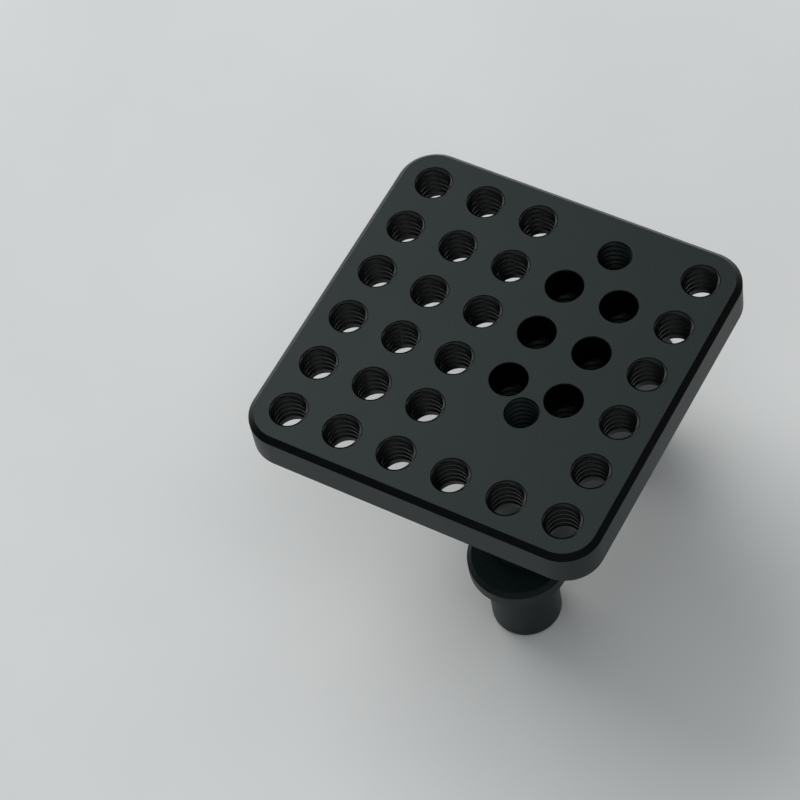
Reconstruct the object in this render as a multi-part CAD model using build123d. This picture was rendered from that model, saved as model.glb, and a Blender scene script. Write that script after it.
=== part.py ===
from build123d import *
import math
import os

# Machined mounting block, one piece of black anodised aluminium.
# A square plate carries a grid of tapped holes. A round-ended bar stands on the plate's back
# and ends in a longer arm, and the arm carries two hollow posts.
# X runs to the right of the plate's front face, Y away along it, and Z out of it.
# The origin is the middle of the front face, which is the middle of the hole grid.
# All lengths are in millimetres.

# Plate
PLATE_WIDTH = 63.5            # along X
PLATE_DEPTH = 63.5            # along Y
PLATE_THICKNESS = 8.0
PLATE_CORNER_RADIUS = 6.5
PLATE_EDGE_CHAMFER = 1.0

# Tapped holes, 1/4-20
THREAD_DIAMETER = 6.35        # the thread's outer diameter, in the wall
DRILL_POINT_ANGLE = 118.0
HOLE_PITCH = 10.0
HOLE_EDGE_DISTANCE = 6.0      # least distance from a hole's axis to the plate's edge
HOLE_WALL = 0.25              # least metal between two holes
MOUTH_CHAMFER = 0.15
BLIND_HOLE_REACH = 2.0        # thread beyond the plate's back, in the bar

# Bar on the plate's back
BAR_OFFSET = 9.7              # centre line from the plate's centre, towards +X
BAR_FAR_MARGIN = 2.45         # from the plate's far edge to the bar's end
BAR_NEAR_MARGIN = 11.35       # from the plate's near edge to the bar's end
BAR_HEIGHT = 26.0             # from the plate's back to the arm
BAR_FOOT_FILLET = 1.2

# Two tapped holes on the bar's centre line, from the plate's front
BAR_HOLE_REACH = 8.0          # thread beyond the plate's back
FAR_BAR_HOLE_SHIFT = 3.5      # beyond the centre of the bar's far round end
NEAR_BAR_HOLE_SHIFT = 1.9     # inside the centre of the bar's near round end

# Arm across the end of the bar
ARM_THICKNESS = 4.0
ARM_FAR_OVERHANG = 4.7        # beyond the bar's far end
ARM_NEAR_OVERHANG = 5.4       # beyond the bar's near end
ARM_RIM_CHAMFER = 0.8

# Hollow posts on the arm
POST_DIAMETER = 12.2
POST_WALL = 2.3
POST_LENGTH = 15.0
POST_SHOULDER = 2.7           # arm's face left around a post, to the arm's sides
FAR_POST_SETBACK = 4.2        # from the centre of the arm's far round end
POST_ROOT_FILLET = 1.0
POST_END_CHAMFER = 0.4
POST_BORE_CHAMFER = 0.3
POST_BORE_FLOOR = 1.5         # metal left between the drill point and the arm's inner face

# Levels along Z, down from the front face at Z = 0
PLATE_BACK_Z = -PLATE_THICKNESS
ARM_INNER_Z = PLATE_BACK_Z - BAR_HEIGHT
ARM_OUTER_Z = ARM_INNER_Z - ARM_THICKNESS
POST_END_Z = ARM_OUTER_Z - POST_LENGTH

# Bar and arm share one width, and the near post is concentric with the arm's near end
BAR_WIDTH = POST_DIAMETER + 2 * POST_SHOULDER
BAR_RADIUS = BAR_WIDTH / 2
BAR_FAR_END = PLATE_DEPTH / 2 - BAR_FAR_MARGIN
BAR_NEAR_END = -PLATE_DEPTH / 2 + BAR_NEAR_MARGIN
ARM_FAR_END = BAR_FAR_END + ARM_FAR_OVERHANG
ARM_NEAR_END = BAR_NEAR_END - ARM_NEAR_OVERHANG
FAR_POST_Y = ARM_FAR_END - BAR_RADIUS - FAR_POST_SETBACK
NEAR_POST_Y = ARM_NEAR_END + BAR_RADIUS

# Tapped holes
THREAD_RADIUS = THREAD_DIAMETER / 2
DRILL_POINT_SLOPE = math.tan(math.radians(DRILL_POINT_ANGLE / 2))
BAR_HOLE_YS = (
    BAR_FAR_END - BAR_RADIUS + FAR_BAR_HOLE_SHIFT,
    BAR_NEAR_END + BAR_RADIUS + NEAR_BAR_HOLE_SHIFT,
)


def rounded_bar(near_end, far_end, low, high):
    """A bar with full round ends, along Y, between two levels."""
    outline = SlotCenterToCenter(far_end - near_end - BAR_WIDTH, BAR_WIDTH, rotation=90)
    return Pos(BAR_OFFSET, (near_end + far_end) / 2, low) * extrude(outline, amount=high - low)


def rim(solid):
    """The outline edges of a prism's two end faces."""
    return solid.faces().sort_by(Axis.Z)[0].edges() + solid.faces().sort_by(Axis.Z)[-1].edges()


def turned(points):
    """A solid of revolution about Z, from a profile of (radius, height) points."""
    profile = make_face(Polyline([(radius, 0, height) for radius, height in points], close=True))
    return revolve(profile, Axis.Z)


def through_cutter():
    """A tapped hole through the plate, chamfered at its mouth."""
    return turned([
        (0, MOUTH_CHAMFER),
        (THREAD_RADIUS + 2 * MOUTH_CHAMFER, MOUTH_CHAMFER),
        (THREAD_RADIUS, -MOUTH_CHAMFER),
        (THREAD_RADIUS, -PLATE_THICKNESS - MOUTH_CHAMFER),
        (0, -PLATE_THICKNESS - MOUTH_CHAMFER),
    ])


def blind_cutter(reach, mouth_chamfer):
    """A blind tapped hole with its drill point."""
    thread_end = PLATE_BACK_Z - reach
    return turned([
        (0, MOUTH_CHAMFER),
        (THREAD_RADIUS + 2 * mouth_chamfer, MOUTH_CHAMFER),
        (THREAD_RADIUS, -mouth_chamfer),
        (THREAD_RADIUS, thread_end),
        (0, thread_end - THREAD_RADIUS / DRILL_POINT_SLOPE),
    ])


def grid(length):
    """Hole positions along one side, centred, as many as the side has room for."""
    gaps = int((length - 2 * HOLE_EDGE_DISTANCE) // HOLE_PITCH)
    return [(index - gaps / 2) * HOLE_PITCH for index in range(gaps + 1)]


def distance_to_bar(x, y):
    """Distance from a point on the plate to the bar's centre line."""
    nearest = min(max(y, BAR_NEAR_END + BAR_RADIUS), BAR_FAR_END - BAR_RADIUS)
    return math.hypot(x - BAR_OFFSET, y - nearest)


def clear_of_bar_holes(x, y):
    """Whether a grid hole leaves a wall to the two holes on the bar's centre line."""
    gaps = [math.hypot(x - BAR_OFFSET, y - hole_y) - THREAD_DIAMETER for hole_y in BAR_HOLE_YS]
    return min(gaps) >= HOLE_WALL


# Plate, bar and arm. The bar runs half-way into the plate and into the arm.
outline = RectangleRounded(PLATE_WIDTH, PLATE_DEPTH, PLATE_CORNER_RADIUS)
plate = Pos(0, 0, PLATE_BACK_Z) * extrude(outline, amount=PLATE_THICKNESS)
plate = chamfer(rim(plate), PLATE_EDGE_CHAMFER)
arm_middle_z = ARM_INNER_Z - ARM_THICKNESS / 2
bar = rounded_bar(BAR_NEAR_END, BAR_FAR_END, arm_middle_z, PLATE_BACK_Z + PLATE_THICKNESS / 2)
block = plate + bar
foot = new_edges(plate, bar, combined=block)
block = fillet(foot, BAR_FOOT_FILLET)

arm = rounded_bar(ARM_NEAR_END, ARM_FAR_END, ARM_OUTER_Z, ARM_INNER_Z)
arm = chamfer(rim(arm), ARM_RIM_CHAMFER)

# Posts, each with a root fillet on the arm and a chamfered end
post_radius = POST_DIAMETER / 2
post = turned([
    (0, POST_END_Z),
    (post_radius - POST_END_CHAMFER, POST_END_Z),
    (post_radius, POST_END_Z + POST_END_CHAMFER),
    (post_radius, arm_middle_z),
    (0, arm_middle_z),
])
posts = [Pos(BAR_OFFSET, y, 0) * post for y in (NEAR_POST_Y, FAR_POST_Y)]
carrier = arm + posts
root_fillet = min(POST_ROOT_FILLET, (POST_SHOULDER - ARM_RIM_CHAMFER) / 2)
carrier = fillet(new_edges(arm, *posts, combined=carrier), root_fillet)
block = block + carrier

# Blind bores in the posts, with a drill point in the arm
bore_radius = post_radius - POST_WALL
bore_point = ARM_INNER_Z - POST_BORE_FLOOR
bore = turned([
    (0, POST_END_Z - POST_BORE_CHAMFER),
    (bore_radius + 2 * POST_BORE_CHAMFER, POST_END_Z - POST_BORE_CHAMFER),
    (bore_radius, POST_END_Z + POST_BORE_CHAMFER),
    (bore_radius, bore_point - bore_radius / DRILL_POINT_SLOPE),
    (0, bore_point),
])
cutters = [Pos(BAR_OFFSET, y, 0) * bore for y in (NEAR_POST_Y, FAR_POST_Y)]

# Tapped holes: through beside the bar, blind over the bar, none on the bar's edge
through = through_cutter()
blind = blind_cutter(BLIND_HOLE_REACH, MOUTH_CHAMFER)
deep = blind_cutter(BAR_HOLE_REACH, 0)
cutters += [Pos(BAR_OFFSET, y, 0) * deep for y in BAR_HOLE_YS]
for x in grid(PLATE_WIDTH):
    for y in grid(PLATE_DEPTH):
        away = distance_to_bar(x, y)
        if not clear_of_bar_holes(x, y):
            continue
        if away > BAR_RADIUS + BAR_FOOT_FILLET + THREAD_RADIUS:
            cutters.append(Pos(x, y, 0) * through)
        elif away < BAR_RADIUS - THREAD_RADIUS:
            cutters.append(Pos(x, y, 0) * blind)
block = block - cutters

block.label = "mounting_block"

os.makedirs("parts", exist_ok=True)
export_step(block, "parts/mounting_block.step")
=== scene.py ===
"""A machined mounting block of black anodised aluminium, dressed on its CAD frame."""

import logging
import math
from dataclasses import dataclass, field
from enum import Enum
from typing import Any

import bmesh
import bpy
from mathutils import Matrix, Vector


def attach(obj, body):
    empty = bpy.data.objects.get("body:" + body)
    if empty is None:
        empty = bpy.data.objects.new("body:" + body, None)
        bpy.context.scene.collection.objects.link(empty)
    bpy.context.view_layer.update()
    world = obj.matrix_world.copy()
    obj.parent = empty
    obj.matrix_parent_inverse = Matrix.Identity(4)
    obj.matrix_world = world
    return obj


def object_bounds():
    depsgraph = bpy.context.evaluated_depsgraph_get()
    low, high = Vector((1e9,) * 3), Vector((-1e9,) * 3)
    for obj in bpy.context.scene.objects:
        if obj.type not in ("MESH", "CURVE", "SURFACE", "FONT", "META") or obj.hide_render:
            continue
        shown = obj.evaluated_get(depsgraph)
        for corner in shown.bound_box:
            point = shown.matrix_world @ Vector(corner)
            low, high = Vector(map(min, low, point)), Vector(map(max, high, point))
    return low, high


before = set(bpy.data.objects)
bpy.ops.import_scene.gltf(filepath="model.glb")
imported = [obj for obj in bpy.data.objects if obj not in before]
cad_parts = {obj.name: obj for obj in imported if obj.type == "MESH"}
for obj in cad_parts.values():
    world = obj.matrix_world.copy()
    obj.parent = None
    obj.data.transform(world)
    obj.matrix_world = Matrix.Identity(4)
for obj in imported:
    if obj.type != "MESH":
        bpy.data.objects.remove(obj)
CAD_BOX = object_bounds()

MM = 0.001
MM_A_METRE = 1000.0
NODE = "mounting_block"
BODY = "root"
HOLE_PITCH = 10.0                # millimetres between neighbouring tapped holes
NOISE_MIDDLE = 0.5               # the value that a noise texture varies around
MIX_FACTOR, MIX_LOW, MIX_HIGH = 0, 6, 7      # inputs of a Mix node that mixes colours
MIX_COLOUR = 2                   # its colour output

Span = tuple[float, float]
Triple = tuple[float, float, float]

log = logging.getLogger("mounting_block")


class HoleKind(Enum):
    """How deep a tapped hole runs and how its mouth is finished."""

    THROUGH = "through"
    BLIND = "blind"
    DEEP = "deep"


# ---------------------------------------------------------------- shader helpers

class Signal:
    """A shader socket that numbers and other signals can be combined with."""

    def __init__(self, graph: "Graph", socket: Any) -> None:
        """Keep the socket and the graph that its maths nodes go into."""
        self.graph = graph
        self.socket = socket

    def _maths(self, operation: str, *values: Any) -> "Signal":
        """Add one Math node.

        Args:
            operation: The Math node's operation.
            values: Signals or numbers, in socket order.

        Returns:
            The node's value.
        """
        settings = {"operation": operation}
        return self.graph.node("ShaderNodeMath", settings, dict(enumerate(values)))

    def __add__(self, other: Any) -> "Signal":
        """Sum of two signals."""
        return self._maths("ADD", self, other)

    __radd__ = __add__

    def __sub__(self, other: Any) -> "Signal":
        """Difference of two signals."""
        return self._maths("SUBTRACT", self, other)

    def __rsub__(self, other: Any) -> "Signal":
        """Difference from a number."""
        return self._maths("SUBTRACT", other, self)

    def __mul__(self, other: Any) -> "Signal":
        """Product of two signals."""
        return self._maths("MULTIPLY", self, other)

    def wrapped(self, span: float) -> "Signal":
        """The remainder from 0 to span."""
        return self._maths("WRAP", self, span, 0.0)

    def step(self, low: float, high: float) -> "Signal":
        """A smooth rise from 0 at low to 1 at high.

        Args:
            low: Value where the rise starts.
            high: Value where the rise ends.

        Returns:
            The eased value, from 0 to 1.
        """
        settings = {"interpolation_type": "SMOOTHSTEP"}
        inputs = {"Value": self, "From Min": low, "From Max": high,
                  "To Min": 0.0, "To Max": 1.0}
        return self.graph.node("ShaderNodeMapRange", settings, inputs)


class Graph:
    """A node tree that is filled by short calls."""

    def __init__(self, tree: Any) -> None:
        """Clear the tree."""
        self.tree = tree
        tree.nodes.clear()

    def node(self, kind: str, settings: dict[str, Any], inputs: dict[Any, Any],
             output: Any = 0) -> Signal:
        """Add a node.

        Args:
            kind: The node's type name.
            settings: Node properties, set first.
            inputs: Values or signals, by socket name or number.
            output: Name or number of the output to return.

        Returns:
            The chosen output, which is empty for a node that has none.
        """
        made = self.tree.nodes.new(kind)
        for name, value in settings.items():
            setattr(made, name, value)
        for name, value in inputs.items():
            if isinstance(value, Signal):
                self.tree.links.new(value.socket, made.inputs[name])
            else:
                made.inputs[name].default_value = value
        return Signal(self, made.outputs[output] if len(made.outputs) else None)

    def mix(self, factor: Signal, low: Any, high: Any) -> Signal:
        """Mix two colours.

        Args:
            factor: Share of the second colour.
            low: First colour.
            high: Second colour.

        Returns:
            The mixed colour.
        """
        inputs = {MIX_FACTOR: factor, MIX_LOW: low, MIX_HIGH: high}
        return self.node("ShaderNodeMix", {"data_type": "RGBA"}, inputs, MIX_COLOUR)

    def noise(self, place: Signal, scale: float, detail: float,
              roughness: float = 0.5) -> Signal:
        """Noise on a position.

        Args:
            place: The position.
            scale: Features to the metre.
            detail: Octaves.
            roughness: Strength of the finer octaves.

        Returns:
            A value around 0.5.
        """
        inputs = {"Vector": place, "Scale": scale, "Detail": detail, "Roughness": roughness}
        return self.node("ShaderNodeTexNoise", {"noise_dimensions": "3D"}, inputs)


def colour(red: float, green: float, blue: float) -> tuple[float, float, float, float]:
    """An opaque linear colour."""
    return (red, green, blue, 1.0)


# ---------------------------------------------------------------- finishes

@dataclass(frozen=True)
class Anodised:
    """Bead-blasted aluminium under a black anodised film."""

    name: str
    base: Triple = (0.0018, 0.0085, 0.0080)
    pale: Triple = (0.0105, 0.0200, 0.0190)
    # deep is a painted shade colour: near black for the chamfer's painted dark reflection and
    # the painted shade inside the bores
    deep: Triple = (0.0010, 0.0014, 0.0016)
    roughness: float = 0.43
    specular: float = 0.21
    ior: float = 1.5
    grain_scale: float = 3000.0
    fine_ratio: float = 2.3              # scale of the finer grain, in grain scales
    cloud_scale: float = 85.0
    speck_span: Span = (0.36, 0.66)      # grain values that the specks rise over
    cloud_tone: float = 0.3              # shares of the clouds and the specks in the tone
    speck_tone: float = 0.7
    cloud_gloss: float = 0.10            # how far each of them moves the roughness
    speck_gloss: float = 0.08
    chamfer_bore_gloss: float = 0.12
    grain_height: float = 0.7            # shares of the two grains in the bump
    fine_height: float = 0.3
    grain_depth: float = 0.000030
    bump_strength: float = 0.55
    face_span: Span = (-0.05, -0.02)     # Z in millimetres, just under the front face
    chamfer_span: Span = (-1.05, -0.95)  # Z at the foot of the front chamfer
    back_span: Span = (-7.97, -7.9)      # Z just above the plate's back
    bore_span: Span = (3.4, 3.5)         # millimetres from a hole's axis
    grid_span: Span = (29.5, 30.0)       # millimetres from the grid's middle

    @staticmethod
    def beyond(squared: Signal, span: Span) -> Signal:
        """A smooth rise with distance.

        Args:
            squared: The square of the distance.
            span: Distances where the rise starts and ends.

        Returns:
            The eased value, from 0 to 1.
        """
        near, far = span
        return squared.step(near ** 2, far ** 2)

    def painted_shade_mask(self, graph: Graph, place: Signal) -> Signal:
        """Find the plate's front chamfer and the bores, which are painted near black: a painted
        dark reflection on the chamfer and painted shade inside the holes.

        Args:
            graph: The material's nodes.
            place: The object position.

        Returns:
            1 on the plate's front chamfer and inside the tapped holes, 0 elsewhere.
        """
        split = graph.node("ShaderNodeSeparateXYZ", {}, {"Vector": place})
        x, y, z = (Signal(graph, output) * MM_A_METRE
                   for output in split.socket.node.outputs)
        below_face = 1.0 - z.step(*self.face_span)
        above_wall = z.step(*self.chamfer_span)
        in_plate = z.step(*self.back_span)
        across = x.wrapped(HOLE_PITCH) - HOLE_PITCH / 2
        along = y.wrapped(HOLE_PITCH) - HOLE_PITCH / 2
        bores = 1.0 - self.beyond(across * across + along * along, self.bore_span)
        inside = 1.0 - self.beyond(x * x, self.grid_span)
        inside = inside - inside * self.beyond(y * y, self.grid_span)
        return (above_wall + bores * in_plate * inside).step(0.0, 1.0) * below_face

    def build(self) -> Any:
        """Make the material.

        Returns:
            The Blender material.
        """
        made = bpy.data.materials.new(self.name)
        made.use_nodes = True
        graph = Graph(made.node_tree)
        place = graph.node("ShaderNodeTexCoord", {}, {}, "Object")
        grain = graph.noise(place, self.grain_scale, detail=2.0, roughness=0.6)
        fine = graph.noise(place, self.grain_scale * self.fine_ratio, detail=1.0)
        cloud = graph.noise(place, self.cloud_scale, detail=3.0, roughness=0.55)
        speck = grain.step(*self.speck_span)
        tone = cloud * self.cloud_tone + speck * self.speck_tone
        blasted = graph.mix(tone, colour(*self.base), colour(*self.pale))
        painted_shade_mask = self.painted_shade_mask(graph, place)
        # Painted shade: the chamfer and bores mix to the near-black deep colour, a painted dark
        # reflection on the chamfer and painted shade in the holes
        base = graph.mix(painted_shade_mask, blasted, colour(*self.deep))
        gloss = (self.roughness + (cloud - NOISE_MIDDLE) * self.cloud_gloss
                 + (speck - NOISE_MIDDLE) * self.speck_gloss
                 - painted_shade_mask * self.chamfer_bore_gloss)
        height = grain * self.grain_height + fine * self.fine_height
        bump = graph.node("ShaderNodeBump", {}, {
            "Strength": self.bump_strength, "Distance": self.grain_depth, "Height": height})
        shader = graph.node("ShaderNodeBsdfPrincipled", {}, {
            "Base Color": base, "Roughness": gloss, "Normal": bump, "Metallic": 0.0,
            "Specular IOR Level": self.specular, "IOR": self.ior})
        graph.node("ShaderNodeOutputMaterial", {}, {"Surface": shader})
        made.diffuse_color = colour(*self.base)
        return made


@dataclass(frozen=True)
class Paper:
    """The pale surface that the block stands on."""

    name: str
    base: Triple = (0.725, 0.735, 0.725)
    pale: Triple = (0.765, 0.775, 0.765)
    roughness: float = 0.75
    specular: float = 0.25
    cloud_scale: float = 14.0
    cloud_span: Span = (0.3, 0.7)        # noise values that the pale colour rises over
    tooth_scale: float = 1800.0
    tooth_depth: float = 0.00002
    bump_strength: float = 0.2

    def build(self) -> Any:
        """Make the material.

        Returns:
            The Blender material.
        """
        made = bpy.data.materials.new(self.name)
        made.use_nodes = True
        graph = Graph(made.node_tree)
        place = graph.node("ShaderNodeTexCoord", {}, {}, "Object")
        cloud = graph.noise(place, self.cloud_scale, detail=4.0)
        tooth = graph.noise(place, self.tooth_scale, detail=2.0)
        tone = cloud.step(*self.cloud_span)
        base = graph.mix(tone, colour(*self.base), colour(*self.pale))
        bump = graph.node("ShaderNodeBump", {}, {
            "Strength": self.bump_strength, "Distance": self.tooth_depth, "Height": tooth})
        shader = graph.node("ShaderNodeBsdfPrincipled", {}, {
            "Base Color": base, "Roughness": self.roughness, "Normal": bump,
            "Specular IOR Level": self.specular})
        graph.node("ShaderNodeOutputMaterial", {}, {"Surface": shader})
        return made


# ---------------------------------------------------------------- mesh helpers

def place_piece(name: str, shape: bmesh.types.BMesh, material: Any) -> Any:
    """Turn a bmesh into a flat-shaded object at the origin.

    Args:
        name: The object's name.
        shape: The finished bmesh, in metres. It is freed.
        material: The object's only material.

    Returns:
        The new object.
    """
    mesh = bpy.data.meshes.new(name)
    for face in shape.faces:
        face.smooth = False
    shape.to_mesh(mesh)
    shape.free()
    mesh.materials.append(material)
    piece = bpy.data.objects.new(name, mesh)
    bpy.context.scene.collection.objects.link(piece)
    return piece


# ---------------------------------------------------------------- threads

@dataclass
class TappedHole:
    """One tapped hole, whose axis stands at x and y, in millimetres."""

    x: float
    y: float
    kind: HoleKind


@dataclass
class HoleGrid:
    """The plate's tapped holes: a square grid, and two deeper holes on the bar's centre line."""

    pitch: float = HOLE_PITCH
    count: int = 6
    radius: float = 3.175
    bar_x: float = 9.7
    bar_radius: float = 8.8
    bar_far: float = 20.5
    bar_near: float = -11.6
    foot_fillet: float = 1.2
    bar_hole_ys: Span = (24.0, -9.7)

    def holes(self) -> list[TappedHole]:
        """List the holes.

        Returns:
            Every tapped hole, through beside the bar and blind over it.
        """
        found = [TappedHole(self.bar_x, y, HoleKind.DEEP) for y in self.bar_hole_ys]
        first = -(self.count - 1) / 2 * self.pitch
        for column in range(self.count):
            for row in range(self.count):
                x, y = first + column * self.pitch, first + row * self.pitch
                nearest = min(max(y, self.bar_near), self.bar_far)
                away = math.hypot(x - self.bar_x, y - nearest)
                if away > self.bar_radius + self.foot_fillet + self.radius:
                    found.append(TappedHole(x, y, HoleKind.THROUGH))
                elif away < self.bar_radius - self.radius:
                    found.append(TappedHole(x, y, HoleKind.BLIND))
        return found


@dataclass
class Threads:
    """Helical thread ridges that stand inside the plain bores of the CAD block.

    Lengths are in millimetres, and depths are measured down from the plate's front face.
    """

    grid: HoleGrid
    pitch: float = 1.27
    minor_radius: float = 2.74
    wall_gap: float = 0.004       # how far the ridge's foot stands clear of the bore's wall
    root_half: float = 0.50       # half the ridge's width at the wall
    crest_half: float = 0.15      # half its width at the crest
    lead_in: float = 0.75         # turns that are swept above the face and then taken off
    turns_to: dict[HoleKind, float] = field(default_factory=lambda: {
        HoleKind.THROUGH: 7.9, HoleKind.BLIND: 9.8, HoleKind.DEEP: 15.8})
    mouth: dict[HoleKind, float] = field(default_factory=lambda: {
        HoleKind.THROUGH: 0.15, HoleKind.BLIND: 0.15, HoleKind.DEEP: 0.0})
    entry: dict[HoleKind, float] = field(default_factory=lambda: {
        HoleKind.THROUGH: 0.0, HoleKind.BLIND: 6.6, HoleKind.DEEP: 0.0})
    steps_a_turn: int = 36
    land_depth: float = 0.012     # the cut end of a ridge lies this far under the face
    start_angle: float = math.radians(50)

    def ridge(self, kind: HoleKind) -> bmesh.types.BMesh:
        """Make one hole's thread ridge around the Z axis, hanging from Z = 0.

        Args:
            kind: The hole's kind, which sets its depth and mouth.

        Returns:
            A bmesh in millimetres.
        """
        shape = bmesh.new()
        wall, crest = self.grid.radius - self.wall_gap, self.minor_radius
        middle = (wall + crest) / 2
        half = (self.root_half + self.crest_half) / 2
        profile = [(wall, self.root_half), (middle, half), (crest, self.crest_half),
                   (crest, -self.crest_half), (middle, -half), (wall, -self.root_half)]
        top = self.pitch * self.lead_in
        turned = Matrix.Rotation(self.start_angle, 4, "Z")
        verts = [shape.verts.new(turned @ Vector((radius, 0.0, top + height)))
                 for radius, height in profile]
        start = shape.faces.new(verts)
        depth = self.turns_to[kind] + top - self.root_half
        steps = round(depth / self.pitch * self.steps_a_turn)
        bmesh.ops.spin(shape, geom=[start, *start.edges[:], *verts], cent=(0, 0, 0),
                       axis=(0, 0, 1), dvec=(0, 0, -depth / steps),
                       angle=-depth / self.pitch * math.tau, steps=steps,
                       use_merge=False, use_duplicate=False)
        mouth = self.mouth[kind]
        if mouth:
            lip = self.grid.radius + mouth + 2 * self.entry[kind]
            self.countersink(shape, lip, wall, -mouth)
        else:
            self.cut_flush(shape)
        bmesh.ops.recalc_face_normals(shape, faces=shape.faces[:])
        return shape

    @staticmethod
    def countersink(shape: bmesh.types.BMesh, lip: float, wall: float, level: float) -> None:
        """Press a ridge's mouth end back onto a steep cone that narrows downwards.

        Args:
            shape: The ridge.
            lip: The cone's radius at the front face.
            wall: The bore's radius, where the ridge ends.
            level: Height that no part of the ridge stands above.
        """
        for vert in shape.verts:
            radius = math.hypot(vert.co.x, vert.co.y)
            share = min(max(radius, lip + 2 * vert.co.z), wall) / radius
            vert.co = Vector((vert.co.x * share, vert.co.y * share, min(vert.co.z, level)))

    def cut_flush(self, shape: bmesh.types.BMesh) -> None:
        """Cut a ridge level with the front face.

        Args:
            shape: The ridge.
        """
        geometry = shape.verts[:] + shape.edges[:] + shape.faces[:]
        cut = bmesh.ops.bisect_plane(shape, geom=geometry, plane_co=(0, 0, -self.land_depth),
                                     plane_no=(0, 0, 1), clear_outer=True)
        rims = [part for part in cut["geom_cut"] if isinstance(part, bmesh.types.BMEdge)]
        bmesh.ops.triangle_fill(shape, use_beauty=True, edges=rims)

    def build(self, material: Any) -> None:
        """Make one piece for each kind of hole.

        Args:
            material: The finish of the threads.
        """
        for kind in HoleKind:
            single = self.ridge(kind)
            mesh = bpy.data.meshes.new("ridge")
            single.to_mesh(mesh)
            single.free()
            joined = bmesh.new()
            for hole in self.grid.holes():
                if hole.kind is not kind:
                    continue
                before = len(joined.verts)
                joined.from_mesh(mesh)
                joined.verts.ensure_lookup_table()
                added = joined.verts[before:]
                bmesh.ops.translate(joined, vec=(hole.x, hole.y, 0), verts=added)
            bpy.data.meshes.remove(mesh)
            bmesh.ops.scale(joined, vec=(MM, MM, MM), verts=joined.verts[:])
            piece = place_piece(f"threads_{kind.value}", joined, material)
            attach(piece, BODY)
            log.info("%s: %d faces", piece.name, len(piece.data.polygons))


# ---------------------------------------------------------------- block

@dataclass
class Block:
    """The machined block itself, which the CAD node already shapes."""

    node: str = NODE

    def dress(self, material: Any) -> None:
        """Give the CAD node its finish.

        Args:
            material: The finish.
        """
        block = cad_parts[self.node]
        if not block.material_slots:
            block.data.materials.append(material)
        for slot in block.material_slots:
            slot.material = material
        log.info("%s dressed", self.node)


# ---------------------------------------------------------------- surroundings

@dataclass
class Studio:
    """Floor, soft lamps, dim surroundings and camera."""

    floor_half: float = 1.6
    floor_cells: int = 8
    floor_level: float = CAD_BOX[0][2]
    floor_gap: float = 0.0002            # the floor lies this far under the block
    sky: Triple = (0.93, 0.97, 1.0)
    sky_low: float = 0.10                # strength of the surroundings near the horizon
    sky_gain: float = 0.50               # what they gain overhead
    sky_span: Span = (0.42, 0.95)        # height of a direction that they gain it over
    aim: Triple = (0.0, 0.0, -0.02)      # the point that the lamps face
    lens: float = 131.27
    sensor: float = 36.0
    nearest: float = 0.01
    eye: Triple = (0.15425, -0.21698, 0.39537)
    right: Triple = (0.87128532, 0.47638394, -0.11798404)
    up: Triple = (-0.34820821, 0.76946339, 0.53542239)

    def floor(self) -> None:
        """Lay the floor."""
        level = self.floor_level - self.floor_gap
        shape = bmesh.new()
        bmesh.ops.create_grid(shape, x_segments=self.floor_cells,
                              y_segments=self.floor_cells, size=self.floor_half)
        bmesh.ops.translate(shape, vec=(0, 0, level), verts=shape.verts[:])
        piece = place_piece("floor", shape, Paper("pale_table").build())

    def lamp(self, name: str, place: Triple, size: float, power: float) -> None:
        """Hang a square soft lamp that points at the block.

        Args:
            name: The lamp's name.
            place: Its position.
            size: Its side.
            power: Its power in watts.
        """
        data = bpy.data.lights.new(name, "AREA")
        data.shape = "SQUARE"
        data.size = size
        data.energy = power
        lamp = bpy.data.objects.new(name, data)
        lamp.location = place
        way = Vector(self.aim) - Vector(place)
        lamp.rotation_euler = way.to_track_quat("-Z", "Y").to_euler()
        bpy.context.scene.collection.objects.link(lamp)

    def light(self) -> None:
        """Set the lamps and the dim surroundings."""
        world = bpy.data.worlds.new("room")
        bpy.context.scene.world = world
        world.use_nodes = True
        graph = Graph(world.node_tree)
        way = graph.node("ShaderNodeTexCoord", {}, {}, "Generated")
        rise = graph.node("ShaderNodeSeparateXYZ", {}, {"Vector": way}, "Z")
        strength = self.sky_low + rise.step(*self.sky_span) * self.sky_gain
        back = graph.node("ShaderNodeBackground", {}, {
            "Color": colour(*self.sky), "Strength": strength})
        graph.node("ShaderNodeOutputWorld", {}, {"Surface": back})
        self.lamp("key_lamp", place=(-1.08, 0.46, 1.08), size=1.3, power=16.0)
        self.lamp("top_lamp", place=(0.5, -0.3, 1.5), size=1.0, power=4.0)

    def camera(self) -> None:
        """Set the camera, which has a small roll."""
        data = bpy.data.cameras.new("camera")
        data.lens = self.lens
        data.sensor_width = self.sensor
        data.clip_start = self.nearest
        right, up = Vector(self.right).normalized(), Vector(self.up)
        back = right.cross(up).normalized()
        up = back.cross(right)
        turn = Matrix((right, up, back)).transposed().to_4x4()
        seat = bpy.data.objects.new("camera", data)
        seat.matrix_world = Matrix.Translation(self.eye) @ turn
        bpy.context.scene.collection.objects.link(seat)
        bpy.context.scene.camera = seat


def main() -> None:
    """Dress the block and set the scene."""
    logging.basicConfig(level=logging.INFO)
    finish = Anodised("black_anodised").build()
    Block().dress(finish)
    Threads(HoleGrid()).build(finish)
    studio = Studio()
    studio.floor()
    studio.light()
    studio.camera()
    view = bpy.context.scene.view_settings
    view.view_transform = "Standard"


if __name__ == "__main__":
    main()
